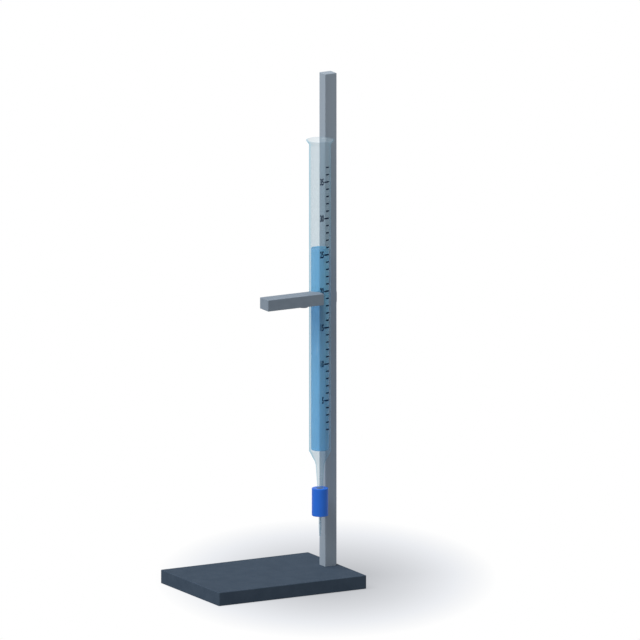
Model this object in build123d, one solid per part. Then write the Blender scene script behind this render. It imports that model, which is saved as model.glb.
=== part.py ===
from build123d import *
import math
import os

# Base: a cast plate, hollow and ribbed underneath, standing on four rubber feet.
base_length = 200.0
base_width = 145.0
base_height = 17.0
foot_stand = 0.8
base_top_wall = 6.0
base_rim_wall = 6.0
base_corner_radius = 1.5
base_edge_radius = 0.8
rib_wall = 4.0
rib_recess = 1.5
ribs_across = 3
ribs_along = 2
foot_radius = 8.0
foot_inset = 16.0
foot_thickness = 4.0
foot_gap = 0.1
foot_pad_wall = 3.0

# Upright: a rectangular tube in a shallow socket of the base, bolted from below.
bar_wide = 15.8
bar_deep = 14.5
bar_wall = 1.5
bar_rise = 600.0
bar_corner_radius = 0.8
bar_end_gap = 4.8
socket_depth = 2.0
socket_gap = 0.1
socket_floor = 5.0
cap_plate = 1.6
cap_spigot = 10.0
plug_fit = 0.05
foot_plug_length = 24.0
bolt_radius = 3.0
bolt_gap = 0.3
thread_fit = 0.03
bolt_length = 22.0
bolt_head_flats = 10.0
bolt_head_height = 4.0
washer_radius = 6.2
washer_thickness = 1.6
washer_gap = 1.3
boss_wall = 3.5

# Burette tube, measured upwards from the stopcock's foot.
tube_radius = 13.1
tube_wall = 2.35
tube_side_gap = 2.8
tube_front_gap = 3.35
stopcock_foot = 84.5
stopcock_height = 33.5
stem_length = 30.3
stem_radius = 3.3
stem_top_radius = 5.6
capillary_radius = 1.0
cone_height = 14.1
tube_length = 379.6
floor_thickness = 2.2
floor_radius = 1.5
lip_radius = 16.6
lip_height = 4.2
lip_wall = 1.4
liquid_depth = 245.7
liquid_gap = 0.05
meniscus_depth = 1.2

# Stopcock: moulded body, upright channel, and a key that points away from the viewer.
stopcock_radius = 9.8
stopcock_edge_radius = 0.6
key_angle = 61.0
key_radius = 5.0
key_gap = 0.05
key_blind_depth = 6.5
key_boss_radius = 7.5
key_boss_reach = 11.0
key_stem_radius = 3.0
key_bore_radius = 1.2
ring_thickness = 0.62
ring_offset = 3.6
ring_groove_gap = 0.08
washer_disc = 0.8
nut_radius = 6.2
nut_thickness = 3.0
nut_fit = 0.03
nut_slot_width = 1.6
handle_gap = 0.3
handle_thickness = 7.0
handle_hub_radius = 5.0
handle_half_span = 9.4
handle_wing_height = 5.0
wing_setback = 0.8
screw_head_radius = 2.2
screw_shank_radius = 1.0
screw_length = 6.0
screw_slot_depth = 0.5
handle_end_wall = 1.2
seal_wall = 1.3
seal_length = 9.0
seal_fit = 0.05
stem_depth = 9.5
jet_shank_radius = 2.85
jet_shank_length = 9.3
jet_radius = 1.6
jet_straight = 12.5
jet_length = 25.0
jet_tip_radius = 0.9
jet_bore_radius = 0.6
jet_fit = 0.05

# Clamp body: a collar open at the front, a rear jaw, a forked hinge and a finger plate.
clamp_middle = 342.75
body_height = 12.3
collar_gap = 0.1
collar_wall = 4.0
hook_wall = 3.5
hook_cover = 8.0
collar_setback = 2.6
jaw_gap = 0.3
lining_thickness = 1.5
lining_fit = 0.05
lining_margin = 0.5
jaw_wall = 4.5
jaw_start = 47.0
jaw_step = 100.0
jaw_end = 172.0
jaw_overlap = 4.0
web_angle = 140.0
hinge_x = -21.5
hinge_y = 1.4
lug_radius = 5.0
lug_gap = 0.2
arm_lug_rise = 0.3
fork_gap = 0.6
arm_lug_height = 4.0
upper_lug_height = 3.2
lower_lug_height = 6.4
finger_wall = 4.5
finger_length = 49.0
finger_root = 11.0
finger_angle = 12.0
finger_lead = 0.6

# Arm: a square-cut lever whose corner cradles the tube from the front left.
arm_length = 75.7
arm_depth = 20.4
arm_height = 13.6
arm_rise = 9.9
arm_end_gap = 8.1
arm_back_gap = 4.4
arm_edge_radius = 0.4

# Hinge pin, its clip, and the spring between arm and finger plate.
pin_radius = 2.0
pin_gap = 0.04
pin_head_radius = 3.4
pin_head_height = 1.0
clip_thickness = 0.7
clip_radius = 3.4
clip_recess = 1.3
clip_groove = 0.4
spring_offset = 18.5
spring_radius = 2.4
spring_wire = 0.4
spring_turns = 5.0
spring_end_gap = 0.12
spring_pocket = 1.5
spring_seat_gap = 0.3
spring_seat_rise = 1.4
spring_above_arm_foot = 3.9

# Lock: screw, knob and swivelling pressure shoe.
boss_reach = 15.8
lock_radius = 3.0
lock_fit = 0.05
shoe_radius = 4.0
shoe_thickness = 2.4
shoe_gap = 0.1
shoe_travel = 3.2
shoe_socket = 1.2
lock_tip_radius = 1.5
knob_radius = 7.0
knob_length = 11.0
knob_gap = 1.5
knob_flutes = 8
knob_flute_radius = 1.3
knob_edge = 0.8
knob_bore_depth = 8.0

# Places that follow from the sizes above.
tube_bore = tube_radius - tube_wall
bar_left = tube_radius + tube_side_gap
bar_front = tube_radius + tube_front_gap
bar_right = bar_left + bar_wide
bar_back = bar_front + bar_deep
upright_x = base_length / 2 - bar_end_gap - bar_wide / 2
tube_x = upright_x - bar_wide / 2 - bar_left
tube_y = -bar_deep / 2 - bar_front
socket_bottom = base_height - socket_depth
bolt_seat = socket_bottom - socket_floor
bar_top = base_height + bar_rise - cap_plate
cavity_wide = bar_wide - 2 * bar_wall
cavity_deep = bar_deep - 2 * bar_wall
cavity_corner = 0.5

stopcock_top = stopcock_foot + stopcock_height
key_height = stopcock_foot + stopcock_height / 2
stem_bottom = stopcock_top - stem_depth
cone_bottom = stopcock_top + stem_length
shoulder = cone_bottom + cone_height
tube_top = shoulder + tube_length
bore_floor = shoulder + floor_thickness
liquid_top = bore_floor + liquid_depth
nut_inner = key_boss_reach - nut_thickness
washer_inner = nut_inner - washer_disc
handle_start = key_boss_reach + handle_gap
handle_end = handle_start + handle_thickness

lining_inner = tube_radius + jaw_gap
lining_outer = lining_inner + lining_thickness
seat_radius = lining_outer + lining_fit
jaw_outer = seat_radius + jaw_wall
body_bottom = clamp_middle - body_height / 2
body_top = body_bottom + body_height
arm_bottom = body_bottom + arm_rise
arm_top = arm_bottom + arm_height
arm_lug_bottom = arm_bottom + arm_lug_rise
arm_lug_top = arm_lug_bottom + arm_lug_height
lower_lug_top = arm_lug_bottom - lug_gap
lower_lug_bottom = lower_lug_top - lower_lug_height
upper_lug_bottom = arm_lug_top + lug_gap
upper_lug_top = upper_lug_bottom + upper_lug_height
collar_left = bar_left - collar_gap
collar_back = bar_back + collar_gap
collar_right = bar_right + collar_gap
boss_left = collar_left - boss_reach
lock_y = bar_back - hook_cover / 2
shoe_face = bar_left - shoe_gap
shoe_back = shoe_face - shoe_thickness
shoe_pocket = shoe_back - shoe_travel
knob_face = boss_left - knob_gap
spring_x = hinge_x - spring_offset
spring_z = arm_bottom + spring_above_arm_foot
arm_back = -arm_back_gap
arm_right = -arm_end_gap
pocket_floor = arm_back - spring_pocket
finger_front_y = hinge_y + finger_lead + spring_offset * math.tan(math.radians(finger_angle))
spring_seat = finger_front_y - spring_seat_rise
spring_coil_outer = spring_radius + spring_wire

FLOOR_UP = (Align.CENTER, Align.CENTER, Align.MIN)


def disc(radius, bottom, top):
    """An upright cylinder about the origin's axis."""
    return Pos(0, 0, bottom) * Cylinder(radius, top - bottom, align=FLOOR_UP)


def block(x0, x1, y0, y1, z0, z1):
    """A box given by its low and high faces."""
    return Pos(x0, y0, z0) * Box(x1 - x0, y1 - y0, z1 - z0, align=(Align.MIN, Align.MIN, Align.MIN))


def rod_x(radius, start, end):
    """A cylinder along +X on the X axis."""
    return Pos(start, 0, 0) * Rot(0, 90, 0) * Cylinder(radius, end - start, align=FLOOR_UP)


def rod_y(radius, start, end):
    """A cylinder along +Y on the Y axis."""
    return Pos(0, start, 0) * Rot(-90, 0, 0) * Cylinder(radius, end - start, align=FLOOR_UP)


def sector(inner, outer, start, end, bottom, top):
    """A stretch of ring wall between two angles about the origin's axis."""
    arc_out = CenterArc((0, 0), outer, start, end - start)
    arc_in = CenterArc((0, 0), inner, start, end - start)
    sides = [Line(arc_in @ 0, arc_out @ 0), Line(arc_in @ 1, arc_out @ 1)]
    face = make_face([arc_out, arc_in, *sides])
    return Pos(0, 0, bottom) * extrude(face, top - bottom)


def prism(points, bottom, top):
    """A polygon in plan, raised between two heights."""
    return Pos(0, 0, bottom) * extrude(make_face(Polyline(*points, close=True)), top - bottom)


def turned(points):
    """A body of revolution about Z from its outline in radius and height."""
    outline = Polyline(*[(r, 0, z) for r, z in points], close=True)
    return revolve(make_face(outline), Axis.Z)


def rounded_bar(wide, deep, corner, bottom, top):
    """A rectangular bar with rounded upright edges."""
    return Pos(0, 0, bottom) * extrude(RectangleRounded(wide, deep, corner), top - bottom)


def hexagon(flats, bottom, top):
    """A hexagonal prism measured across its flats."""
    return Pos(0, 0, bottom) * extrude(RegularPolygon(flats / 2, 6, major_radius=False), top - bottom)


def foot_centres():
    """The four corners where feet sit."""
    x = base_length / 2 - foot_inset
    y = base_width / 2 - foot_inset
    return [(sx * x, sy * y) for sx in (-1, 1) for sy in (-1, 1)]


def make_base_plate():
    """A casting with rim, ribs, foot pads and the boss under the upright."""
    depth = base_height - foot_stand
    shell = Pos(0, 0, foot_stand) * Box(base_length, base_width, depth, align=FLOOR_UP)
    shell = fillet(shell.edges().filter_by(Axis.Z), base_corner_radius)
    shell = fillet(shell.faces().sort_by(Axis.Z)[-1].edges(), base_edge_radius)
    inner_length = base_length - 2 * base_rim_wall
    inner_width = base_width - 2 * base_rim_wall
    hollow_top = base_height - base_top_wall
    hollow = Box(inner_length, inner_width, hollow_top - foot_stand, align=FLOOR_UP)
    shell -= Pos(0, 0, foot_stand) * fillet(hollow.edges().filter_by(Axis.Z), base_rim_wall / 2)
    rib_bottom = foot_stand + rib_recess
    for i in range(ribs_across):
        x = inner_length * ((i + 1) / (ribs_across + 1) - 0.5)
        shell += block(x - rib_wall / 2, x + rib_wall / 2, -inner_width / 2 - 1, inner_width / 2 + 1,
                       rib_bottom, hollow_top + 1)
    for i in range(ribs_along):
        y = inner_width * ((i + 1) / (ribs_along + 1) - 0.5)
        shell += block(-inner_length / 2 - 1, inner_length / 2 + 1, y - rib_wall / 2, y + rib_wall / 2,
                       rib_bottom, hollow_top + 1)
    for x, y in foot_centres():
        shell += Pos(x, y, 0) * disc(foot_radius + foot_pad_wall, foot_stand, hollow_top + 1)
    boss_radius = washer_radius + washer_gap + boss_wall
    shell += Pos(upright_x, 0, 0) * disc(boss_radius, foot_stand, hollow_top + 1) & inside_rim()
    for x, y in foot_centres():
        shell -= Pos(x, y, 0) * disc(foot_radius + foot_gap, 0, foot_thickness)
    shell -= Pos(upright_x, 0, 0) * disc(washer_radius + washer_gap, 0, bolt_seat)
    shell -= Pos(upright_x, 0, 0) * disc(bolt_radius + bolt_gap, 0, base_height)
    socket = rounded_bar(bar_wide + 2 * socket_gap, bar_deep + 2 * socket_gap, bar_corner_radius,
                         socket_bottom, base_height + 1)
    return shell - Pos(upright_x, 0, 0) * socket


def inside_rim():
    """The space within the middle of the rim, which keeps the boss inside the casting."""
    return Pos(0, 0, foot_stand) * Box(base_length - base_rim_wall, base_width - base_rim_wall, base_height,
                                       align=FLOOR_UP)


def make_rubber_feet():
    """Four discs with a rounded wearing edge."""
    foot = disc(foot_radius, 0, foot_thickness)
    foot = fillet(foot.edges().sort_by(Axis.Z)[0], foot_stand / 2)
    return Compound(children=[Pos(x, y, 0) * foot for x, y in foot_centres()])


def make_base_bolt():
    """Hexagon-head bolt that pulls the upright down into its socket."""
    head_top = bolt_seat - washer_thickness
    head = hexagon(bolt_head_flats, head_top - bolt_head_height, head_top)
    head &= turned([(0, head_top - bolt_head_height), (bolt_head_flats * 0.47, head_top - bolt_head_height),
                    (bolt_head_flats * 0.6, head_top - bolt_head_height * 0.8),
                    (bolt_head_flats * 0.6, head_top), (0, head_top)])
    shank = disc(bolt_radius - thread_fit, head_top, head_top + bolt_length)
    shank = chamfer(shank.edges().sort_by(Axis.Z)[-1], 0.6)
    return Pos(upright_x, 0, 0) * (head + shank)


def make_base_washer():
    """Plain washer under the bolt's head."""
    ring = disc(washer_radius, bolt_seat - washer_thickness, bolt_seat)
    return Pos(upright_x, 0, 0) * (ring - disc(bolt_radius + bolt_gap, 0, base_height))


def make_upright():
    """Rectangular tube, open at both ends until plug and cap close it."""
    outer = rounded_bar(bar_wide, bar_deep, bar_corner_radius, socket_bottom, bar_top)
    inner = rounded_bar(cavity_wide, cavity_deep, cavity_corner, socket_bottom - 1, bar_top + 1)
    return Pos(upright_x, 0, 0) * (outer - inner)


def make_upright_foot_plug():
    """Threaded block pressed into the upright's foot."""
    plug = rounded_bar(cavity_wide - 2 * plug_fit, cavity_deep - 2 * plug_fit, cavity_corner,
                       socket_bottom, socket_bottom + foot_plug_length)
    return Pos(upright_x, 0, 0) * (plug - disc(bolt_radius, 0, socket_bottom + foot_plug_length + 1))


def make_upright_cap():
    """Plate with a spigot that closes the upright's top."""
    plate = rounded_bar(bar_wide, bar_deep, bar_corner_radius, bar_top, bar_top + cap_plate)
    plate = fillet(plate.faces().sort_by(Axis.Z)[-1].edges(), 0.4)
    spigot = rounded_bar(cavity_wide - 2 * plug_fit, cavity_deep - 2 * plug_fit, cavity_corner,
                         bar_top - cap_spigot, bar_top)
    return Pos(upright_x, 0, 0) * (plate + spigot)


def at_tube(shape):
    """Moves a shape drawn about the tube's axis to its place."""
    return Pos(tube_x, tube_y, 0) * shape


def make_glass_tube():
    """Blown tube: flared lip, straight wall, cone, and a thick stem with a fine bore."""
    flare = lip_radius - tube_radius
    lines = [
        Line((tube_bore, 0, bore_floor + floor_radius), (tube_bore, 0, tube_top - lip_height * 1.6)),
        Spline((tube_bore, 0, tube_top - lip_height * 1.6),
               (tube_bore + flare * 0.45, 0, tube_top - lip_height * 0.5),
               (lip_radius - lip_wall, 0, tube_top), tangents=[(0, 0, 1), (0.6, 0, 0.8)]),
        ThreePointArc((lip_radius - lip_wall, 0, tube_top),
                      (lip_radius - lip_wall * 0.45, 0, tube_top + lip_wall * 0.18),
                      (lip_radius, 0, tube_top - lip_wall * 0.35)),
        Spline((lip_radius, 0, tube_top - lip_wall * 0.35),
               (tube_radius + flare * 0.4, 0, tube_top - lip_height * 0.62),
               (tube_radius, 0, tube_top - lip_height * 1.3), tangents=[(-0.3, 0, -1), (0, 0, -1)]),
        Line((tube_radius, 0, tube_top - lip_height * 1.3), (tube_radius, 0, shoulder)),
        Spline((tube_radius, 0, shoulder), (tube_radius * 0.74, 0, shoulder - cone_height * 0.42),
               (stem_top_radius, 0, cone_bottom), tangents=[(-0.25, 0, -1), (-0.12, 0, -1)]),
        Spline((stem_top_radius, 0, cone_bottom),
               ((stem_top_radius + stem_radius) / 2, 0, cone_bottom - stem_length * 0.36),
               (stem_radius, 0, stopcock_top), tangents=[(-0.12, 0, -1), (0, 0, -1)]),
        Line((stem_radius, 0, stopcock_top), (stem_radius, 0, stem_bottom)),
        Line((stem_radius, 0, stem_bottom), (capillary_radius, 0, stem_bottom)),
        Line((capillary_radius, 0, stem_bottom), (capillary_radius, 0, bore_floor)),
        Line((capillary_radius, 0, bore_floor), (tube_bore - floor_radius, 0, bore_floor)),
        ThreePointArc((tube_bore - floor_radius, 0, bore_floor),
                      (tube_bore - floor_radius * (1 - math.sqrt(0.5)), 0,
                       bore_floor + floor_radius * (1 - math.sqrt(0.5))),
                      (tube_bore, 0, bore_floor + floor_radius)),
    ]
    return at_tube(revolve(make_face(lines), Axis.Z))


def make_liquid():
    """The filling, with a concave top surface."""
    radius = tube_bore - liquid_gap
    bottom = bore_floor + liquid_gap
    corner = floor_radius
    lines = [
        Line((0, 0, bottom), (radius - corner, 0, bottom)),
        ThreePointArc((radius - corner, 0, bottom),
                      (radius - corner * (1 - math.sqrt(0.5)), 0, bottom + corner * (1 - math.sqrt(0.5))),
                      (radius, 0, bottom + corner)),
        Line((radius, 0, bottom + corner), (radius, 0, liquid_top)),
        Spline((radius, 0, liquid_top), (radius * 0.75, 0, liquid_top - meniscus_depth * 0.85),
               (0, 0, liquid_top - meniscus_depth), tangents=[(-0.4, 0, -1), (-1, 0, 0)]),
        Line((0, 0, liquid_top - meniscus_depth), (0, 0, bottom)),
    ]
    return at_tube(revolve(make_face(lines), Axis.Z))


def at_key(shape):
    """Moves a shape drawn along +X from the stopcock's centre to the key's place and angle."""
    return at_tube(Pos(0, 0, key_height) * Rot(0, 0, key_angle) * shape)


def make_stopcock_body():
    """Moulded cylinder with a blind cross bore, a short boss, and sockets for stem and jet."""
    body = disc(stopcock_radius, stopcock_foot, stopcock_top)
    body = fillet(body.edges().filter_by(GeomType.CIRCLE), stopcock_edge_radius)
    body = at_tube(body) + at_key(rod_x(key_boss_radius, 0, key_boss_reach))
    body -= at_key(rod_x(key_radius, -key_blind_depth, key_boss_reach))
    body -= at_key(rod_x(nut_radius + nut_fit, washer_inner, key_boss_reach + 1))
    body -= at_tube(disc(capillary_radius, stopcock_foot, stopcock_top))
    seal_outer = stem_radius + seal_fit + seal_wall
    body -= at_tube(disc(seal_outer + seal_fit, stem_bottom - seal_fit, stopcock_top + 1))
    return body - at_tube(disc(jet_shank_radius + jet_fit, stopcock_foot - 1,
                               stopcock_foot + jet_shank_length + jet_fit))


def make_stem_seal():
    """Soft sleeve between the glass stem and the stopcock's socket."""
    inner = stem_radius + seal_fit
    return at_tube(disc(inner + seal_wall, stem_bottom, stem_bottom + seal_length)
                   - disc(inner, stem_bottom - 1, stopcock_top))


def make_jet_tip():
    """Glass jet: shank in the body, straight outlet, then a fine taper."""
    low = stopcock_foot - jet_length
    knee = stopcock_foot - jet_straight
    top = stopcock_foot + jet_shank_length
    outside = turned([(0, low), (jet_tip_radius, low), (jet_radius, knee), (jet_radius, stopcock_foot),
                      (jet_shank_radius, stopcock_foot), (jet_shank_radius, top), (0, top)])
    return at_tube(outside - disc(jet_bore_radius, low - 1, top + 1))


def make_stopcock_plug():
    """Turned key with two ring grooves, a stem for the handle and a cross bore."""
    radius = key_radius - key_gap
    plug = rod_x(radius, key_gap - key_blind_depth, washer_inner - 2 * key_gap)
    plug += rod_x(key_stem_radius, washer_inner - 2 * key_gap, handle_end - handle_end_wall)
    for side in (-1, 1):
        middle = side * ring_offset
        width = ring_thickness + ring_groove_gap
        groove = rod_x(radius + 1, middle - width, middle + width)
        groove -= rod_x(ring_floor(), middle - width, middle + width)
        plug -= groove
    plug -= Rot(90, 0, 0) * Cylinder(key_bore_radius, 3 * key_radius)
    plug -= rod_x(screw_shank_radius + thread_fit, handle_end - screw_length - 0.5, handle_end)
    return at_key(plug)


def ring_floor():
    """Radius of the groove's floor under an O-ring."""
    return key_radius - 2 * ring_thickness - 2 * ring_groove_gap


def make_plug_o_rings():
    """Two O-rings, one each side of the cross bore."""
    ring = Rot(0, 90, 0) * Torus(ring_floor() + ring_groove_gap + ring_thickness, ring_thickness)
    return Compound(children=[at_key(Pos(side * ring_offset, 0, 0) * ring) for side in (-1, 1)])


def make_plug_washer():
    """Slip washer between key and gland nut."""
    return at_key(rod_x(nut_radius - nut_fit, washer_inner, nut_inner)
                  - rod_x(key_stem_radius + key_gap, 0, key_boss_reach))


def make_plug_nut():
    """Slotted gland nut, flush with the boss, that keeps the key in."""
    nut = rod_x(nut_radius, nut_inner, key_boss_reach)
    nut -= rod_x(key_stem_radius + key_gap, 0, key_boss_reach + 1)
    slot_floor = key_boss_reach - nut_thickness * 0.4
    nut -= block(slot_floor, key_boss_reach + 1, -nut_radius - 1, nut_radius + 1,
                 -nut_slot_width / 2, nut_slot_width / 2)
    return at_key(nut)


def make_plug_handle():
    """Moulded T handle: a round hub with two waisted wings, in line with the cross bore."""
    hub = rod_x(handle_hub_radius, handle_start, handle_end)
    hub = fillet(hub.edges().sort_by(Axis.X)[-1], 0.8)
    half = handle_wing_height / 2
    waist = half * 0.72
    tip = handle_half_span - half
    outline = [
        Spline((0, waist), (tip * 0.55, waist * 1.02), (tip, half), tangents=[(1, 0), (1, 0.1)]),
        ThreePointArc((tip, half), (handle_half_span, 0), (tip, -half)),
        Spline((tip, -half), (tip * 0.55, -waist * 1.02), (0, -waist), tangents=[(-1, 0.1), (-1, 0)]),
        Line((0, -waist), (0, waist)),
    ]
    wing = extrude(Plane.YZ * make_face(outline), handle_thickness - 2 * wing_setback)
    wing = Pos(handle_start + wing_setback, 0, 0) * wing
    handle = hub + wing + Rot(180, 0, 0) * wing
    handle -= rod_x(key_stem_radius + key_gap, 0, handle_end - handle_end_wall + key_gap)
    handle -= rod_x(screw_shank_radius + thread_fit, 0, handle_end + 1)
    head = Pos(handle_end - screw_head_radius * 0.45, 0, 0) * rod_x(screw_head_radius + 0.05, 0, 5)
    return at_key(handle - head)


def make_handle_screw():
    """Small pan-head screw that holds the handle on the key."""
    head_start = handle_end - screw_head_radius * 0.45
    screw = rod_x(screw_head_radius, head_start, handle_end)
    screw += rod_x(screw_shank_radius, handle_end - screw_length, head_start)
    screw -= block(handle_end - screw_slot_depth, handle_end + 1, -screw_head_radius - 1,
                   screw_head_radius + 1, -screw_slot_depth * 0.6, screw_slot_depth * 0.6)
    return at_key(screw)


def finger_bar(start, end, bottom, top):
    """A stretch of the finger plate, in plan a bar that leans away from the arm."""
    bar = block(-end, -start, 0, finger_wall, bottom, top)
    return Pos(hinge_x, hinge_y + finger_lead, 0) * Rot(0, 0, -finger_angle) * bar


def make_clamp_body():
    """Collar, boss, rear jaw, forked hinge and finger plate, cast in one piece."""
    jaw = sector(seat_radius, jaw_outer, jaw_start, jaw_step + jaw_overlap, body_bottom, body_top)
    jaw += sector(seat_radius, jaw_outer, jaw_step, jaw_end, lower_lug_bottom, upper_lug_top)
    web_root = seat_radius + jaw_wall * 0.1
    bridge = [around(web_root, jaw_start), around(jaw_outer, jaw_start),
              (collar_left, bar_front + collar_setback), (collar_left, collar_back),
              (boss_left, collar_back), (boss_left, web_root)]
    body = jaw + prism(bridge, body_bottom, body_top)
    body += block(boss_left, collar_right + hook_wall, collar_back, collar_back + collar_wall,
                  body_bottom, body_top)
    body += block(collar_right, collar_right + hook_wall, bar_back - hook_cover, collar_back + 1,
                  body_bottom, body_top)
    body = fillet(outer_corners(body), 1.2)
    fork = Pos(hinge_x, hinge_y, 0)
    web = [(hinge_x, hinge_y), (hinge_x - 1, hinge_y + lug_radius - 0.1),
           around(jaw_outer, web_angle), around(web_root, web_angle + 10)]
    for bottom, top in ((lower_lug_bottom, lower_lug_top), (upper_lug_bottom, upper_lug_top)):
        body += fork * disc(lug_radius, bottom, top) + prism(web, bottom, top)
    body += finger_bar(0, finger_root + 2, lower_lug_bottom, lower_lug_top)
    plate = finger_bar(finger_root, finger_length, lower_lug_bottom, upper_lug_top)
    body += fillet(plate.edges().filter_by(Axis.Z), 1.0)
    seat = Pos(spring_x, 0, spring_z) * rod_y(spring_coil_outer + spring_seat_gap, spring_seat,
                                              finger_front_y + 2)
    spigot = Pos(spring_x, 0, spring_z) * rod_y(spring_radius - spring_wire - 0.2, spring_seat - 2,
                                                spring_seat + 1)
    body += seat + spigot
    body -= disc(seat_radius, body_bottom - 1, upper_lug_top + 1)
    body -= fork * disc(lug_radius + fork_gap, lower_lug_top, upper_lug_bottom)
    body -= fork * disc(pin_radius + pin_gap / 2, body_bottom, upper_lug_top + 1)
    body -= fork * disc(clip_radius + 0.4, lower_lug_bottom - 1, lower_lug_bottom + clip_recess)
    axis = Pos(0, lock_y, clamp_middle)
    body -= axis * rod_x(lock_radius, boss_left - 1, collar_left)
    body -= axis * rod_x(shoe_radius + 0.2, shoe_pocket, collar_left + 1)
    return at_tube(body)


def around(radius, angle):
    """A point in plan at a distance and an angle from the tube's axis."""
    return (radius * math.cos(math.radians(angle)), radius * math.sin(math.radians(angle)))


def outer_corners(body):
    """Upright edges of the collar's back corners."""
    edges = body.edges().filter_by(Axis.Z)
    return edges.filter_by(lambda e: abs(e.center().Y - (collar_back + collar_wall)) < 0.01)


def make_rear_jaw_lining():
    """Rubber pad bonded into the rear jaw."""
    return at_tube(sector(lining_inner, lining_outer, jaw_start + 1, jaw_end - 1,
                          lower_lug_bottom + lining_margin, body_top - lining_margin))


def make_clamp_arm():
    """Square-cut bar with the tube's notch, a hinge lug and the spring's pocket."""
    bar = block(arm_right - arm_length, arm_right, arm_back - arm_depth, arm_back, arm_bottom, arm_top)
    bar = fillet(bar.edges(), arm_edge_radius)
    lug = Pos(hinge_x, hinge_y, 0) * disc(lug_radius, arm_lug_bottom, arm_lug_top)
    lug += block(hinge_x - lug_radius, hinge_x + lug_radius, arm_back - 1, hinge_y,
                 arm_lug_bottom, arm_lug_top)
    arm = bar + lug
    arm -= disc(seat_radius, arm_bottom - 1, arm_top + 1)
    arm -= Pos(hinge_x, hinge_y, 0) * disc(pin_radius + pin_gap, arm_bottom, arm_top)
    arm -= Pos(spring_x, 0, spring_z) * rod_y(spring_coil_outer + spring_seat_gap, pocket_floor,
                                              arm_back + 1)
    return at_tube(arm)


def make_front_jaw_lining():
    """Rubber pad bonded into the arm's notch."""
    start = 180 + math.degrees(math.asin(arm_back_gap / lining_outer)) + 1
    end = 270 - math.degrees(math.asin(arm_end_gap / lining_outer)) - 1
    return at_tube(sector(lining_inner, lining_outer, start, end,
                          arm_bottom + lining_margin, arm_top - lining_margin))


def make_hinge_pin():
    """Headed pin through fork and arm, grooved for its clip."""
    bottom = lower_lug_bottom + 0.1
    head = disc(pin_head_radius, upper_lug_top, upper_lug_top + pin_head_height)
    head = fillet(head.edges().sort_by(Axis.Z)[-1], 0.6)
    pin = disc(pin_radius, bottom, upper_lug_top) + head
    groove = disc(pin_radius + 1, clip_bottom(), clip_bottom() + clip_thickness + 0.04)
    pin -= groove - disc(pin_radius - clip_groove, bottom, upper_lug_top)
    return at_tube(Pos(hinge_x, hinge_y, 0) * pin)


def clip_bottom():
    """Height of the clip's lower face, inside its recess."""
    return lower_lug_bottom + clip_recess - clip_thickness - 0.1


def make_hinge_pin_clip():
    """Open ring that snaps into the pin's groove."""
    bottom = clip_bottom() + 0.02
    top = bottom + clip_thickness
    ring = disc(clip_radius, bottom, top) - disc(pin_radius - clip_groove + 0.03, bottom - 1, top + 1)
    mouth = block(0, clip_radius + 1, -pin_radius * 0.7, pin_radius * 0.7, bottom - 1, top + 1)
    return at_tube(Pos(hinge_x, hinge_y, 0) * (ring - mouth))


def make_clamp_spring():
    """Compression spring between the arm's pocket and the finger plate's seat."""
    length = spring_seat - pocket_floor - 2 * (spring_wire + spring_end_gap)
    coil = Helix(length / spring_turns, length, spring_radius)
    wire = sweep(Plane(coil @ 0, z_dir=coil % 0) * Circle(spring_wire), path=coil)
    place = Pos(spring_x, pocket_floor + spring_wire + spring_end_gap, spring_z)
    return at_tube(place * Rot(-90, 0, 0) * wire)


def make_pressure_shoe():
    """Brass disc that takes the screw's thrust on the upright's side."""
    shoe = rod_x(shoe_radius, shoe_back, shoe_face)
    shoe = chamfer(shoe.edges().sort_by(Axis.X)[0], 0.4)
    shoe -= rod_x(lock_tip_radius + lock_fit, shoe_back - 1, shoe_back + shoe_socket)
    return at_tube(Pos(0, lock_y, clamp_middle) * shoe)


def make_lock_screw():
    """Screw with a reduced tip that turns in the shoe."""
    start = knob_face - knob_bore_depth + lock_fit
    screw = rod_x(lock_radius - lock_fit, start, shoe_back - lock_fit)
    screw += rod_x(lock_tip_radius, shoe_back - 1, shoe_back + shoe_socket - lock_fit)
    return at_tube(Pos(0, lock_y, clamp_middle) * screw)


def make_lock_knob():
    """Fluted knob moulded on the screw's end."""
    knob = rod_x(knob_radius, knob_face - knob_length, knob_face)
    knob = chamfer(knob.edges().filter_by(GeomType.CIRCLE), knob_edge)
    for i in range(knob_flutes):
        angle = 360 / knob_flutes * (i + 0.5)
        flute = Pos(0, 0, knob_radius + knob_flute_radius * 0.35)
        cutter = rod_x(knob_flute_radius, knob_face - knob_length - 1, knob_face + 1)
        knob -= Rot(angle, 0, 0) * flute * cutter
    knob -= rod_x(lock_radius, knob_face - knob_bore_depth, knob_face + 1)
    return at_tube(Pos(0, lock_y, clamp_middle) * knob)


parts = {
    "base_plate": make_base_plate,
    "rubber_feet": make_rubber_feet,
    "base_bolt": make_base_bolt,
    "base_washer": make_base_washer,
    "upright": make_upright,
    "upright_foot_plug": make_upright_foot_plug,
    "upright_cap": make_upright_cap,
    "glass_tube": make_glass_tube,
    "liquid": make_liquid,
    "stopcock_body": make_stopcock_body,
    "stem_seal": make_stem_seal,
    "jet_tip": make_jet_tip,
    "stopcock_plug": make_stopcock_plug,
    "plug_o_rings": make_plug_o_rings,
    "plug_washer": make_plug_washer,
    "plug_nut": make_plug_nut,
    "plug_handle": make_plug_handle,
    "handle_screw": make_handle_screw,
    "clamp_body": make_clamp_body,
    "rear_jaw_lining": make_rear_jaw_lining,
    "clamp_arm": make_clamp_arm,
    "front_jaw_lining": make_front_jaw_lining,
    "hinge_pin": make_hinge_pin,
    "hinge_pin_clip": make_hinge_pin_clip,
    "clamp_spring": make_clamp_spring,
    "pressure_shoe": make_pressure_shoe,
    "lock_screw": make_lock_screw,
    "lock_knob": make_lock_knob,
}

os.makedirs("parts", exist_ok=True)
for name, make in parts.items():
    export_step(make(), f"parts/{name}.step")
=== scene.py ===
import bmesh
import bpy
import numpy as np
from mathutils import Matrix, Vector


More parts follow.
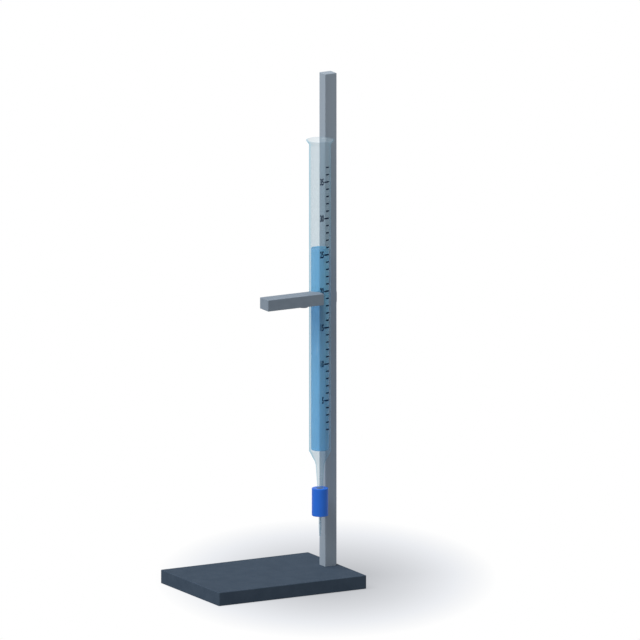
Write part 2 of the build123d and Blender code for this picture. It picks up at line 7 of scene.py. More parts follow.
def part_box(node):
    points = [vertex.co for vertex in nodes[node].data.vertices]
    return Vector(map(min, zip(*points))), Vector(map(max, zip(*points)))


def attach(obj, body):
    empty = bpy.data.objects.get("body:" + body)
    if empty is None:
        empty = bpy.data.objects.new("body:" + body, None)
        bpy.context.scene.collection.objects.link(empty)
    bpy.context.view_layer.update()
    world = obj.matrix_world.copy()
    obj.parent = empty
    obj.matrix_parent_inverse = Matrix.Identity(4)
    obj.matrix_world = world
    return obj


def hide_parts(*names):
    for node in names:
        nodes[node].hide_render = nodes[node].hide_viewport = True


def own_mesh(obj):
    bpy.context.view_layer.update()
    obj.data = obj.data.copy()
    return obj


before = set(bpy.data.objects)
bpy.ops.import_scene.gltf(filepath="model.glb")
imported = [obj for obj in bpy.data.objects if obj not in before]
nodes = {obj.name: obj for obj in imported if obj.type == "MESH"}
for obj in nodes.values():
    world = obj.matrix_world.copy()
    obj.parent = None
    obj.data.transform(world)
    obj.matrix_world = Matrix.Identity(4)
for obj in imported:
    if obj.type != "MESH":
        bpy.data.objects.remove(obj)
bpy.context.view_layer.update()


# Base casting. The real one is a ribbed iron plate under a fine slate-blue powder coat, which has a faint
# orange-peel skin and a slight mottle.
def linear(red, green, blue):
    """A colour given as display values from 0 to 255, as linear light."""
    display = np.array([red, green, blue]) / 255
    light = np.where(display <= 0.04045, display / 12.92, ((display + 0.055) / 1.055) ** 2.4)
    return (*light, 1.0)


def new_finish(name, roughness=0.5, gloss=0.5, metal=0.0):
    """A node material with its Principled shader, and the object coordinates that its patterns read."""
    material = bpy.data.materials.new(name)
    material.use_nodes = True
    tree = material.node_tree
    shader = tree.nodes["Principled BSDF"]
    shader.inputs["Roughness"].default_value = roughness
    shader.inputs["Specular IOR Level"].default_value = gloss
    shader.inputs["Metallic"].default_value = metal
    return material, tree, shader, tree.nodes.new("ShaderNodeTexCoord")


def cloud(tree, coords, cycles, detail=2.0, stretch=(1, 1, 1)):
    """Noise at a number of cycles a metre, stretched along the object's axes."""
    mapping = tree.nodes.new("ShaderNodeMapping")
    mapping.inputs["Scale"].default_value = stretch
    tree.links.new(coords.outputs["Object"], mapping.inputs["Vector"])
    texture = tree.nodes.new("ShaderNodeTexNoise")
    texture.inputs["Scale"].default_value = cycles
    texture.inputs["Detail"].default_value = detail
    tree.links.new(mapping.outputs["Vector"], texture.inputs["Vector"])
    return texture.outputs["Fac"]


def tinted(tree, shader, factor, dark, light):
    """Gives the shader a colour that runs from dark to light as a factor goes from 0.35 to 0.65."""
    ramp = tree.nodes.new("ShaderNodeValToRGB")
    ramp.color_ramp.elements[0].position = 0.35
    ramp.color_ramp.elements[0].color = dark
    ramp.color_ramp.elements[1].position = 0.65
    ramp.color_ramp.elements[1].color = light
    tree.links.new(factor, ramp.inputs["Fac"])
    tree.links.new(ramp.outputs["Color"], shader.inputs["Base Color"])


def roughened(tree, shader, factor, low, high):
    """Gives the shader a roughness that runs from low to high as a factor goes from 0.3 to 0.7."""
    span = tree.nodes.new("ShaderNodeMapRange")
    span.inputs["From Min"].default_value = 0.3
    span.inputs["From Max"].default_value = 0.7
    span.inputs["To Min"].default_value = low
    span.inputs["To Max"].default_value = high
    tree.links.new(factor, span.inputs["Value"])
    tree.links.new(span.outputs["Result"], shader.inputs["Roughness"])


def bumped(tree, shader, height, depth):
    """Gives the shader a bump from a height, whose full swing is a depth in metres."""
    bump = tree.nodes.new("ShaderNodeBump")
    bump.inputs["Distance"].default_value = depth
    tree.links.new(height, bump.inputs["Height"])
    tree.links.new(bump.outputs["Normal"], shader.inputs["Normal"])


def dress(material, *names):
    """Puts a finish on every slot of CAD nodes."""
    for name in names:
        for place in nodes[name].material_slots:
            place.link = "OBJECT"
            place.material = material


def powder_coat():
    """Slate powder coat: a mottle of a percent or two over orange peel about a millimetre across."""
    material, tree, shader, coords = new_finish("slate_powder_coat", 0.75, 0.03)
    tinted(tree, shader, cloud(tree, coords, 60, 3), linear(62, 75, 90), linear(67, 80, 95))
    roughened(tree, shader, cloud(tree, coords, 900), 0.7, 0.8)
    bumped(tree, shader, cloud(tree, coords, 1100, 1), 0.00004)
    return material


dress(powder_coat(), "base_plate")


# Rubber feet. Black moulded discs, pressed into the casting, with a dull skin and a dusting of grey wear.
def black_rubber():
    """Dull rubber: nearly black, with a fine grain and slightly greyer patches."""
    material, tree, shader, coords = new_finish("black_rubber", 0.8, 0.3)
    tinted(tree, shader, cloud(tree, coords, 250, 3), linear(24, 25, 27), linear(36, 37, 39))
    bumped(tree, shader, cloud(tree, coords, 3000), 0.00003)
    return material


rubber = black_rubber()
dress(rubber, "rubber_feet")


# Bolt and washer under the base, and the threaded plug that they pull on. Zinc-plated steel, turned and
# rolled, with fine marks round each piece and a slightly uneven plating.
def plated_steel(name, colour_dark, colour_light, roughness):
    """Plated steel: a bright metal whose roughness and tone change in patches of a few millimetres."""
    material, tree, shader, coords = new_finish(name, roughness, 0.5, 1.0)
    tinted(tree, shader, cloud(tree, coords, 400, 3), colour_dark, colour_light)
    roughened(tree, shader, cloud(tree, coords, 900), roughness - 0.06, roughness + 0.08)
    bumped(tree, shader, cloud(tree, coords, 2500, 1), 0.00001)
    return material


zinc = plated_steel("zinc_plated_steel", linear(168, 174, 182), linear(190, 195, 201), 0.38)
dress(zinc, "base_bolt", "base_washer", "upright_foot_plug")


# Upright. A 15.8 by 14.5 mm rectangular aluminium tube, drawn and satin anodised in blue grey, with fine
# drawing lines along its length. A plain plug of the same finish closes its top.
def anodised_satin():
    """Drawn metal under a satin anodised skin: hair lines along Z, and long soft bands of tone."""
    material, tree, shader, coords = new_finish("anodised_satin", 0.5, 0.2)
    bands = cloud(tree, coords, 90, 2, (1, 1, 0.03))
    tinted(tree, shader, bands, linear(154, 167, 180), linear(158, 171, 184))
    lines = cloud(tree, coords, 2200, 1, (1, 1, 0.01))
    roughened(tree, shader, lines, 0.45, 0.6)
    bumped(tree, shader, lines, 0.00001)
    return material


dress(anodised_satin(), "upright", "upright_cap")


# Clamp body. One zinc die casting holds the collar round the upright, the rear jaw, the forked hinge and
# the finger plate. It is tumbled and painted grey, so it keeps a soft cast grain.
def cast_paint(name, dark, light):
    """Painted die casting: a soft grain about half a millimetre across, and a slow change of tone."""
    material, tree, shader, coords = new_finish(name, 0.6, 0.15)
    tinted(tree, shader, cloud(tree, coords, 120, 3), dark, light)
    roughened(tree, shader, cloud(tree, coords, 700), 0.52, 0.66)
    bumped(tree, shader, cloud(tree, coords, 1600, 3), 0.00005)
    return material


clamp_paint = cast_paint("clamp_paint", linear(134, 147, 162), linear(140, 153, 168))
dress(clamp_paint, "clamp_body")
dress(rubber, "rear_jaw_lining")


# Hinge pin and its clip. A headed steel pin, bright from turning, held by an open spring-steel ring in
# its groove.
pin_steel = plated_steel("turned_steel", linear(176, 180, 185), linear(196, 199, 203), 0.25)
dress(pin_steel, "hinge_pin")
spring_steel = plated_steel("spring_steel", linear(112, 116, 122), linear(138, 141, 146), 0.3)
dress(spring_steel, "hinge_pin_clip")


# Clamp spring. Four and a half turns of 0.8 mm wire between the arm's pocket and the finger plate's seat,
# with the end turns wound close and flat.
def helix_wire(mean_radius, wire_radius, length, turns, flattening=0.55, steps_a_turn=36, wire_steps=12):
    """A round wire along a coil about Z. The turn grows evenly, and the height grows as the turn less a
    sine of it, which flattens the ends. The wire's circle stands across the coil's direction at every
    step."""
    share = np.linspace(0, 1, int(turns * steps_a_turn) + 1)
    turn = 2 * np.pi * turns * share
    eased = share - flattening * np.sin(2 * np.pi * share) / (2 * np.pi)
    rise = (length - 2 * wire_radius) * eased + wire_radius
    centre = np.stack([mean_radius * np.cos(turn), mean_radius * np.sin(turn), rise], axis=-1)
    along = np.gradient(centre, axis=0)
    along /= np.linalg.norm(along, axis=1, keepdims=True)
    out = np.stack([np.cos(turn), np.sin(turn), 0 * turn], axis=-1)
    across = np.cross(along, out)
    around = np.linspace(0, 2 * np.pi, wire_steps, endpoint=False)[:, None, None]
    return centre + wire_radius * (np.cos(around) * out + np.sin(around) * across)


def skin(name, grid, material, wrap_u=True, wrap_v=False, caps=False):
    """An object from a grid of points. Rows join to the next row, and round to the first if wrap_u says
    so. Columns do the same with wrap_v. Ends that aren't joined can be closed by one face each."""
    rows, columns = grid.shape[:2]
    u = np.arange(rows if wrap_u else rows - 1)[:, None]
    v = np.arange(columns if wrap_v else columns - 1)[None, :]
    u2, v2 = (u + 1) % rows, (v + 1) % columns
    quads = np.stack([u * columns + v, u2 * columns + v, u2 * columns + v2, u * columns + v2], axis=-1)
    faces = quads.reshape(-1, 4).tolist()
    if caps:
        ring = np.arange(rows) * columns if wrap_u else np.arange(columns)
        shift = columns - 1 if wrap_u else (rows - 1) * columns
        faces += [ring[::-1].tolist(), (ring + shift).tolist()]
    mesh = bpy.data.meshes.new(name)
    mesh.from_pydata(grid.reshape(-1, 3).tolist(), [], faces)
    mesh.polygons.foreach_set("use_smooth", [True] * len(mesh.polygons))
    mesh.materials.append(material)
    piece = bpy.data.objects.new(name, mesh)
    bpy.context.scene.collection.objects.link(piece)
    return piece


def outward(piece, weld=1e-7):
    """Merges doubled points, closes poles and turns every face outwards."""
    shell = bmesh.new()
    shell.from_mesh(piece.data)
    bmesh.ops.remove_doubles(shell, verts=shell.verts, dist=weld)
    bmesh.ops.recalc_face_normals(shell, faces=shell.faces)
    shell.to_mesh(piece.data)
    shell.free()
    return piece


def placed(piece, place, turn=Matrix.Identity(4)):
    """Moves a piece's mesh to its place, after a turn, so that its object stays at the origin."""
    piece.data.transform(Matrix.Translation(place) @ turn)
    return piece


spring_low, spring_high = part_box("clamp_spring")
wire_radius = 0.0004
spring_turns = 4.5
spring_radius = (spring_high.x - spring_low.x) / 2 - wire_radius
spring_length = spring_high.y - spring_low.y
coil = helix_wire(spring_radius, wire_radius, spring_length, spring_turns)
spring = outward(skin("clamp_spring_coil", coil, spring_steel, caps=True))
spring_foot = Vector(((spring_low.x + spring_high.x) / 2, spring_low.y, (spring_low.z + spring_high.z) / 2))
placed(spring, spring_foot, Matrix.Rotation(-np.pi / 2, 4, "X"))
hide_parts("clamp_spring")
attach(spring, "clamp")
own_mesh(spring)


# Arm. A square-cut bar of the same casting, painted like the clamp body, with the tube's notch lined in
# rubber.
dress(cast_paint("arm_paint", linear(130, 143, 157), linear(134, 147, 161)), "clamp_arm")
dress(rubber, "front_jaw_lining")


# Lock. A turned brass shoe presses on the upright, pushed by a steel screw with a black moulded knob.
def brass():
    """Turned brass with a faint tarnish."""
    material, tree, shader, coords = new_finish("turned_brass", 0.32, 0.5, 1.0)
    tinted(tree, shader, cloud(tree, coords, 500, 3), linear(178, 146, 82), linear(204, 172, 104))
    roughened(tree, shader, cloud(tree, coords, 1500), 0.26, 0.4)
    return material


def black_plastic():
    """Moulded phenolic: deep black with a fine matt grain."""
    material, tree, shader, coords = new_finish("black_moulding", 0.45, 0.4)
    tinted(tree, shader, cloud(tree, coords, 300, 3), linear(26, 27, 29), linear(34, 35, 38))
    bumped(tree, shader, cloud(tree, coords, 2500, 1), 0.00001)
    return material


def threaded(radius, length, pitch, depth, steps=48, rows_a_turn=12):
    """A screw thread about Z: the radius falls by the depth times a triangle wave of height over pitch
    less turn."""
    height = np.linspace(0, length, int(length / pitch * rows_a_turn) + 1)[None, :]
    turn = np.linspace(0, 2 * np.pi, steps, endpoint=False)[:, None]
    phase = (height / pitch - turn / (2 * np.pi)) % 1
    wave = np.abs(2 * phase - 1)
    run_out = np.clip(np.minimum(height, length - height) / pitch, 0, 1)
    cut = radius - depth * (1 - run_out * wave)
    return np.stack([cut * np.cos(turn), cut * np.sin(turn), height + 0 * turn], axis=-1)


def revolved(profile, steps):
    """Points of a surface of revolution about Z: the profile's radius times cosine and sine of the turn,
    and its height, for every step of the turn."""
    turn = np.linspace(0, 2 * np.pi, steps, endpoint=False)[:, None]
    radius, height = profile[None, :, 0], profile[None, :, 1]
    return np.stack([radius * np.cos(turn), radius * np.sin(turn), height + 0 * turn], axis=-1)


def sharp_where_steep(piece, degrees):
    """Marks edges sharper than an angle, so that flats and corners shade crisply."""
    piece.data.set_sharp_from_angle(angle=np.radians(degrees))
    return piece


dress(brass(), "pressure_shoe")
pole_weld = 1e-6
screw_low, screw_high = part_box("lock_screw")
screw_radius = (screw_high.y - screw_low.y) / 2
thread_pitch = 0.001
thread_depth = 0.00055
tip_depth = 0.0011
tip_radius = 0.0015
tip_chamfer = 0.0002
thread_length = screw_high.x - screw_low.x - tip_depth
threads = threaded(screw_radius, thread_length, thread_pitch, thread_depth)
lock_screw = outward(skin("lock_screw_thread", threads, pin_steel, caps=True))
lock_axis = Vector((screw_low.x, (screw_low.y + screw_high.y) / 2, (screw_low.z + screw_high.z) / 2))
placed(lock_screw, lock_axis, Matrix.Rotation(np.pi / 2, 4, "Y"))
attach(lock_screw, "lock")
tip_profile = np.array([[0, -tip_chamfer], [tip_radius, -tip_chamfer], [tip_radius, tip_depth - tip_chamfer],
                        [tip_radius - tip_chamfer, tip_depth], [0, tip_depth]])
lock_tip = outward(skin("lock_screw_tip", revolved(tip_profile, 40), pin_steel), pole_weld)
tip_foot = Vector((screw_high.x - tip_depth, lock_axis.y, lock_axis.z))
placed(lock_tip, tip_foot, Matrix.Rotation(np.pi / 2, 4, "Y"))
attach(sharp_where_steep(lock_tip, 40), "lock")
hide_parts("lock_screw")
dress(black_plastic(), "lock_knob")


# Burette tube. Borosilicate glass, drawn, with a flared and fire-polished lip, drawn down to a cone and a
# thick capillary stem. Its wall shows as a pale blue-grey veil that thickens where the eye looks along
# it.
def through(points, steps):
    """A smooth profile through points: on each span a cubic whose end slopes are half the step between
    the neighbours either side."""
    points = np.array(points, float)
    padded = np.vstack([2 * points[0] - points[1], points, 2 * points[-1] - points[-2]])
    before, start, end, after = (padded[i:len(padded) - 3 + i, None, :] for i in range(4))
    t = np.linspace(0, 1, steps, endpoint=False)[None, :, None]
    out = start + 0.5 * t * (end - before) + t ** 2 * (before - 2.5 * start + 2 * end - 0.5 * after)
    out += t ** 3 * (-0.5 * before + 1.5 * start - 1.5 * end + 0.5 * after)
    return np.vstack([out.reshape(-1, 2), points[-1:]])


def veil(name, tint, inner, outer, roughness=0.06, gloss=0.5, sheer=(1, 1, 1), rim=None):
    """Clear material as a veil: light passes, coloured by sheer, or by rim where the eye looks along the
    surface. A share that runs from inner, face on, to outer, edge on, is a glossy skin of the tint
    instead."""
    material, tree, shader, coords = new_finish(name, roughness, gloss)
    shade = tuple(0.985 * level for level in tint[:3])
    tinted(tree, shader, cloud(tree, coords, 25, 2, (1, 1, 0.2)), (*shade, 1), tint)
    passing = tree.nodes.new("ShaderNodeBsdfTransparent")
    passing.inputs["Color"].default_value = (*sheer, 1)
    facing = tree.nodes.new("ShaderNodeLayerWeight")
    facing.inputs["Blend"].default_value = 0.3
    if rim:
        deepening = tree.nodes.new("ShaderNodeValToRGB")
        deepening.color_ramp.elements[0].position = 0.26
        deepening.color_ramp.elements[0].color = (*sheer, 1)
        deepening.color_ramp.elements[1].position = 0.5
        deepening.color_ramp.elements[1].color = (*rim, 1)
        tree.links.new(facing.outputs["Facing"], deepening.inputs["Fac"])
        tree.links.new(deepening.outputs["Color"], passing.inputs["Color"])
    share = tree.nodes.new("ShaderNodeMapRange")
    share.inputs["To Min"].default_value = inner
    share.inputs["To Max"].default_value = outer
    mix = tree.nodes.new("ShaderNodeMixShader")
    tree.links.new(facing.outputs["Facing"], share.inputs["Value"])
    tree.links.new(share.outputs["Result"], mix.inputs["Fac"])
    tree.links.new(passing.outputs["BSDF"], mix.inputs[1])
    tree.links.new(shader.outputs["BSDF"], mix.inputs[2])
    tree.links.new(mix.outputs["Shader"], tree.nodes["Material Output"].inputs["Surface"])
    return material


tube_low, tube_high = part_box("glass_tube")
liquid_low, liquid_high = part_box("liquid")
tube_axis = Vector(((tube_low.x + tube_high.x) / 2, (tube_low.y + tube_high.y) / 2, 0))
tube_top = tube_high.z
lip_radius = (tube_high.x - tube_low.x) / 2
lip_flare = 0.0035
liquid_gap = 0.00005
floor_thickness = 0.0022
cone_height = 0.0141
tube_radius = lip_radius - lip_flare
bore_radius = (liquid_high.x - liquid_low.x) / 2 + liquid_gap
bore_floor = liquid_low.z - liquid_gap
shoulder = bore_floor - floor_thickness
cone_foot = shoulder - cone_height
stem_end = tube_low.z
stem_radius = 0.0033
stem_start_radius = 0.0056
capillary_radius = 0.001
lip_wall = 0.0014
flare_out = 0.0055
flare_in = 0.0067
floor_corner = 0.0015
socket_depth = 0.0095
stem_taper = 0.0194
glass_steps = 128
lip_steps = 10
spans_to_crest = 5.5

stem_knee = stem_end + socket_depth
outer_side = through([(stem_radius, stem_end), (stem_radius, stem_knee),
                      ((stem_radius + stem_start_radius) / 2, stem_knee + stem_taper),
                      (stem_start_radius, cone_foot), (tube_radius * 0.73, shoulder - 0.0059),
                      (tube_radius - 0.0012, shoulder - 0.0012), (tube_radius, shoulder + 0.0006)], 14)
outer_lip = through([(tube_radius, tube_top - flare_out), (tube_radius + 0.0003, tube_top - 0.0049),
                     (tube_radius + 0.0018, tube_top - 0.003), (lip_radius - 0.0003, tube_top - 0.0008),
                     (lip_radius, tube_top - 0.0003), (lip_radius - lip_wall * 0.45, tube_top),
                     (lip_radius - lip_wall, tube_top - 0.0004), (bore_radius + 0.0022, tube_top - 0.0034),
                     (bore_radius + 0.0004, tube_top - 0.0057),
                     (bore_radius, tube_top - flare_in)], lip_steps)
corner = np.linspace(0, np.pi / 2, 8)[:, None]
floor_round = np.hstack([bore_radius - floor_corner + floor_corner * np.cos(corner),
                         bore_floor + floor_corner - floor_corner * np.sin(corner)])
capillary = np.array([[capillary_radius, bore_floor], [capillary_radius, stem_end]])
glass_profile = np.vstack([outer_side, outer_lip, floor_round, capillary])
clear_glass = veil("borosilicate_glass", (0.53, 0.68, 0.78, 1), 0.17, 0.2, 0.1, 0.3, (0.875, 0.917, 0.937),
                   (0.67, 0.83, 0.9))
bore_glass = veil("borosilicate_bore", (0.6, 0.72, 0.8, 1), 0.01, 0.05)
glass = skin("glass_tube_blown", revolved(glass_profile, glass_steps), clear_glass, wrap_v=True)
glass.data.materials.append(bore_glass)
lip_crest = len(outer_side) + int(spans_to_crest * lip_steps)
in_bore = np.arange(len(glass_profile)) >= lip_crest
glass.data.polygons.foreach_set("material_index", np.tile(in_bore, glass_steps).astype(int))
placed(outward(glass), tube_axis)
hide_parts("glass_tube")
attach(sharp_where_steep(glass, 50), "burette")


# Liquid. A blue solution that fills the tube to the shoulder. Water wets the glass, so its top dips in
# the middle and climbs at the wall.
def tinted_water(name, body, surface_share):
    """Coloured liquid as a veil: what shows through takes its colour."""
    return veil(name, body, surface_share, surface_share + 0.08, 0.08, 0.3, (0.44, 0.73, 1))


liquid_radius = (liquid_high.x - liquid_low.x) / 2
liquid_top = liquid_high.z
meniscus_depth = 0.0012
meniscus_reach = 0.0022
reach = np.linspace(1, 0, 40)
climb = np.exp(-(1 - reach) * liquid_radius / meniscus_reach)
surface_line = np.stack([reach * liquid_radius, liquid_top - meniscus_depth * (1 - climb)], axis=-1)
liquid_foot = np.hstack([liquid_radius - floor_corner + floor_corner * np.cos(corner),
                         liquid_low.z + floor_corner - floor_corner * np.sin(corner)])[::-1]
liquid_profile = np.vstack([[[0, liquid_low.z]], liquid_foot, surface_line])
blue_solution = tinted_water("blue_solution", (0.3, 0.82, 1, 1), 0.28)
liquid = outward(skin("blue_liquid_filling", revolved(liquid_profile, 96), blue_solution), pole_weld)
placed(liquid, tube_axis)
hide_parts("liquid")
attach(liquid, "burette")


# Scale. Dark blue enamel, screened on the glass and fired: 37 lines, every fifth one longer, with the
# numbers 5 to 35 beside the long ones. The marks stand a few hundredths of a millimetre proud.
def enamel():
    """Fired enamel: dark blue, a little uneven, with a dull gloss."""
    material, tree, shader, coords = new_finish("scale_enamel", 0.6, 0.05)
    tinted(tree, shader, cloud(tree, coords, 1500, 2), linear(6, 18, 46), linear(10, 24, 54))
    bumped(tree, shader, cloud(tree, coords, 4000, 1), 0.00001)
    return material


def on_glass(turn, height, rise):
    """Points on the tube: the turn is from straight ahead, which is -Y, towards +X, and rise is above the
    glass."""
    radius = tube_radius + rise
    x = tube_axis.x + radius * np.sin(turn)
    y = tube_axis.y - radius * np.cos(turn)
    return np.stack([x, y, height], axis=-1)


def enamel_line(start, end, height, width, rise, blunting=0.98):
    """A raised line along the glass: a rounded bar whose half width narrows to a blunt half circle at
    each end."""
    turn = np.linspace(start, end, 25)[:, None]
    arc = np.minimum(turn - start, end - turn) * tube_radius
    short = np.clip(1 - arc / (width / 2), 0, 1)
    half = width / 2 * np.sqrt(1 - blunting * short ** 2)
    side = np.array([-1, 1, 1, -1])[None, :]
    level = np.array([0, 0, 1, 1])[None, :]
    return on_glass(turn + 0 * side, height + half * side, rise * level)


value_step = 0.008872
first_value_height = 0.1914
last_value = 37
values_a_long_line = 5
line_width = 0.0017
mark_rise = 0.00006
long_line = np.radians([-6.6, 25.4])
short_line = np.radians([3.8, 25.4])
ink = enamel()
lines = []
for value in range(1, last_value + 1):
    span = long_line if value % values_a_long_line == 0 else short_line
    height = first_value_height + (value - 1) * value_step
    lines.append(enamel_line(span[0], span[1], height, line_width, mark_rise))


def joined(name, grids, material):
    """One object from many closed bars, each a grid whose columns go round and whose end rows are
    capped."""
    rows, columns = grids[0].shape[:2]
    u = np.arange(rows - 1)[:, None]
    v = np.arange(columns)[None, :]
    quads = np.stack([u * columns + v, (u + 1) * columns + v, (u + 1) * columns + (v + 1) % columns,
                      u * columns + (v + 1) % columns], axis=-1).reshape(-1, 4)
    ends = np.arange(columns) + np.array([[0], [(rows - 1) * columns]])
    faces = np.vstack([quads, ends])
    each = np.arange(len(grids))[:, None, None] * rows * columns
    mesh = bpy.data.meshes.new(name)
    mesh.from_pydata(np.vstack([g.reshape(-1, 3) for g in grids]).tolist(), [],
                     (faces[None] + each).reshape(-1, 4).tolist())
    mesh.materials.append(material)
    piece = bpy.data.objects.new(name, mesh)
    bpy.context.scene.collection.objects.link(piece)
    return outward(piece)


scale_lines = joined("scale_lines", lines, ink)
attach(scale_lines, "burette")

digit_height = 0.0076
digit_share_of_size = 0.7
digit_boldness = 0.00042
digit_squeeze = 0.42
number_end = np.radians(-8.4)
for value in range(values_a_long_line, last_value, values_a_long_line):
    writing = bpy.data.curves.new("number", "FONT")
    writing.body = str(value)
    writing.align_x = "RIGHT"
    writing.align_y = "CENTER"
    writing.size = digit_height / digit_share_of_size
    writing.offset = digit_boldness
    writing.extrude = mark_rise / 2
    writing.resolution_u = 4
    flat = bpy.data.objects.new("number", writing)
    bpy.context.scene.collection.objects.link(flat)
    bpy.context.view_layer.update()
    mesh = bpy.data.meshes.new_from_object(flat.evaluated_get(bpy.context.evaluated_depsgraph_get()))
    bpy.data.objects.remove(flat)
    flat_points = np.empty(len(mesh.vertices) * 3)
    mesh.vertices.foreach_get("co", flat_points)
    across, up, out = flat_points.reshape(-1, 3).T
    height = first_value_height + (value - 1) * value_step
    wrapped = on_glass(number_end + across * digit_squeeze / tube_radius, height + up, out + mark_rise / 2)
    mesh.vertices.foreach_set("co", wrapped.ravel())
    mesh.materials.clear()
    mesh.materials.append(ink)
    number = bpy.data.objects.new(f"scale_number_{value}", mesh)
    bpy.context.scene.collection.objects.link(number)
    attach(outward(number), "burette")


# Stopcock. A moulded blue polypropylene cylinder, with a boss for the key on the side away from the
# viewer. The silicone sleeve between it and the glass stem is nearly clear.
def blue_moulding():
    """Moulded plastic: an even blue with a very faint flow mark and a soft gloss."""
    material, tree, shader, coords = new_finish("blue_polypropylene", 0.45, 0.2)
    tinted(tree, shader, cloud(tree, coords, 80, 2, (1, 1, 0.4)), linear(40, 108, 214), linear(43, 112, 220))
    roughened(tree, shader, cloud(tree, coords, 1200), 0.4, 0.5)
    bumped(tree, shader, cloud(tree, coords, 1800, 1), 0.00001)
    return material


def silicone():
    """Nearly clear silicone: a milky veil."""
    return veil("clear_silicone", linear(215, 222, 226), 0.35, 0.7, 0.3, 0.4)


blue_plastic = blue_moulding()
dress(blue_plastic, "stopcock_body", "plug_nut", "plug_handle")
dress(silicone(), "stem_seal")


# Key. A white PTFE plug with black O-rings turns in the stopcock, behind a slip washer and the gland nut,
# and a small screw holds its handle.
def ptfe():
    """Turned PTFE: a soft waxy white with light let a little way in."""
    material, tree, shader, coords = new_finish("white_ptfe", 0.45, 0.3)
    tinted(tree, shader, cloud(tree, coords, 300, 2), linear(232, 233, 231), linear(240, 241, 240))
    shader.inputs["Subsurface Weight"].default_value = 0.15
    shader.inputs["Subsurface Radius"].default_value = (0.001, 0.0009, 0.0008)
    bumped(tree, shader, cloud(tree, coords, 2500, 1), 0.000008)
    return material


dress(ptfe(), "stopcock_plug", "plug_washer")
dress(rubber, "plug_o_rings")
dress(zinc, "handle_screw")


# Jet. Drawn glass like the tube, with a fine bore and a ground tip.
dress(clear_glass, "jet_tip")


# Floor, light and camera. A pale floor with a soft shadow painted on it, and a little real shadow mixed in,
# runs into a white surround. A large soft light stands above and to the left, and the camera looks without
# perspective, as the photograph does.
# Middle and reach of the shadow painted on the floor, in metres.
painted_shadow_middle = (0.0859, 0.0023)
painted_shadow_reach = (0.2034, 0.3271)
look_down = 0.22
look_aside = -0.5


def seen_directly(tree):
    """A socket that is 1 for camera, glossy and transmission rays and 0 for all others."""
    rays = tree.nodes.new("ShaderNodeLightPath")
    seen = rays.outputs["Is Camera Ray"]
    for kind in ("Is Glossy Ray", "Is Transmission Ray"):
        either = tree.nodes.new("ShaderNodeMath")
        either.operation = "MAXIMUM"
        tree.links.new(seen, either.inputs[0])
        tree.links.new(rays.outputs[kind], either.inputs[1])
        seen = either.outputs["Value"]
    return seen


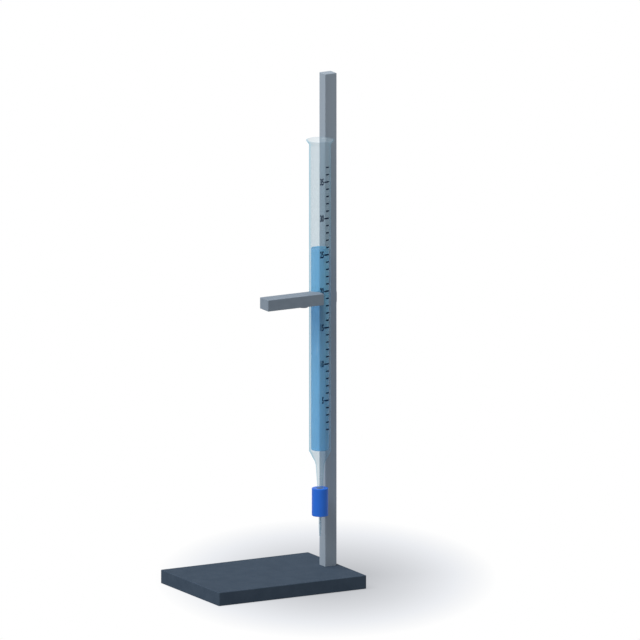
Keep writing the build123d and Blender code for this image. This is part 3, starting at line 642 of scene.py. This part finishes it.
def white_floor():
    """Floor with a painted shadow: camera, glossy and transmission rays meet an emission that is white far
    out and greys towards the painted shadow's middle, mixed there with some real shading. Other rays meet a
    plain grey floor."""
    material = bpy.data.materials.new("white_floor")
    material.use_nodes = True
    tree = material.node_tree
    tree.nodes.remove(tree.nodes["Principled BSDF"])
    new = tree.nodes.new
    coords = new("ShaderNodeTexCoord")
    middle = new("ShaderNodeMapping")
    middle.vector_type = "TEXTURE"
    middle.inputs["Location"].default_value = (*painted_shadow_middle, 0)
    middle.inputs["Rotation"].default_value = (0, 0, look_aside)
    middle.inputs["Scale"].default_value = (*painted_shadow_reach, 1)
    tree.links.new(coords.outputs["Object"], middle.inputs["Vector"])
    painted_shadow_blob = new("ShaderNodeTexGradient")
    painted_shadow_blob.gradient_type = "SPHERICAL"
    tree.links.new(middle.outputs["Vector"], painted_shadow_blob.inputs["Vector"])
    # Painted shadow: white at its reach, greying towards its middle. Both the emission and the real shading
    # take this colour.
    ramp = new("ShaderNodeValToRGB")
    ramp.color_ramp.elements[0].color = (1, 1, 1, 1)
    ramp.color_ramp.elements[1].color = linear(180, 184, 190)
    for place, tone in ((0.25, 236), (0.5, 217), (0.75, 199)):
        ramp.color_ramp.elements.new(place).color = linear(tone, tone + 2, tone + 6)
    tree.links.new(painted_shadow_blob.outputs["Fac"], ramp.inputs["Fac"])
    painted_shadow_glow = new("ShaderNodeEmission")
    tree.links.new(ramp.outputs["Color"], painted_shadow_glow.inputs["Color"])
    shaded = new("ShaderNodeBsdfDiffuse")
    tree.links.new(ramp.outputs["Color"], shaded.inputs["Color"])
    # Towards the painted shadow's middle, up to 15 percent real shading is mixed into the emission.
    keeping = new("ShaderNodeMapRange")
    keeping.inputs["From Max"].default_value = 0.35
    keeping.inputs["To Min"].default_value = 1.0
    keeping.inputs["To Max"].default_value = 0.85
    tree.links.new(painted_shadow_blob.outputs["Fac"], keeping.inputs["Value"])
    seen = new("ShaderNodeMixShader")
    tree.links.new(keeping.outputs["Result"], seen.inputs["Fac"])
    tree.links.new(shaded.outputs["BSDF"], seen.inputs[1])
    tree.links.new(painted_shadow_glow.outputs["Emission"], seen.inputs[2])
    plain = new("ShaderNodeBsdfDiffuse")
    plain.inputs["Color"].default_value = (0.4, 0.4, 0.4, 1)
    either = new("ShaderNodeMixShader")
    tree.links.new(seen_directly(tree), either.inputs["Fac"])
    tree.links.new(plain.outputs["BSDF"], either.inputs[1])
    tree.links.new(seen.outputs["Shader"], either.inputs[2])
    tree.links.new(either.outputs["Shader"], tree.nodes["Material Output"].inputs["Surface"])
    return material


floor_reach = 4.0
span = np.linspace(-floor_reach, floor_reach, 9)
floor_grid = np.stack(np.meshgrid(span, span, [0.0], indexing="ij"), axis=-1)[:, :, 0, :]
floor = skin("floor", floor_grid, white_floor(), wrap_u=False)

world = bpy.data.worlds.new("surround")
bpy.context.scene.world = world
world.use_nodes = True
sky = world.node_tree
ambient = 0.3
strength = sky.nodes.new("ShaderNodeMapRange")
strength.inputs["To Min"].default_value = ambient
strength.inputs["To Max"].default_value = 1.0
sky.links.new(seen_directly(sky), strength.inputs["Value"])
sky.nodes["Background"].inputs["Color"].default_value = (1, 1, 1, 1)
sky.links.new(strength.outputs["Result"], sky.nodes["Background"].inputs["Strength"])

key_direction = Vector((-0.52, -0.09, 0.7))
key = bpy.data.lights.new("soft_key", "SUN")
key.energy = np.pi * key_direction.length
key.angle = np.radians(40)
key_lamp = bpy.data.objects.new("soft_key", key)
key_lamp.rotation_euler = key_direction.to_track_quat("Z", "Y").to_euler()
bpy.context.scene.collection.objects.link(key_lamp)

camera_distance = 3.0
frame_width = 0.7613
aim = Vector((0.0635, -0.0237, 0.3226))
lens = bpy.data.cameras.new("camera")
lens.type = "ORTHO"
lens.ortho_scale = frame_width
camera = bpy.data.objects.new("camera", lens)
camera.rotation_euler = (np.pi / 2 - look_down, 0, look_aside)
camera.location = aim + camera.rotation_euler.to_matrix() @ Vector((0, 0, camera_distance))
bpy.context.scene.collection.objects.link(camera)
bpy.context.scene.camera = camera
bpy.context.scene.view_settings.view_transform = "Standard"
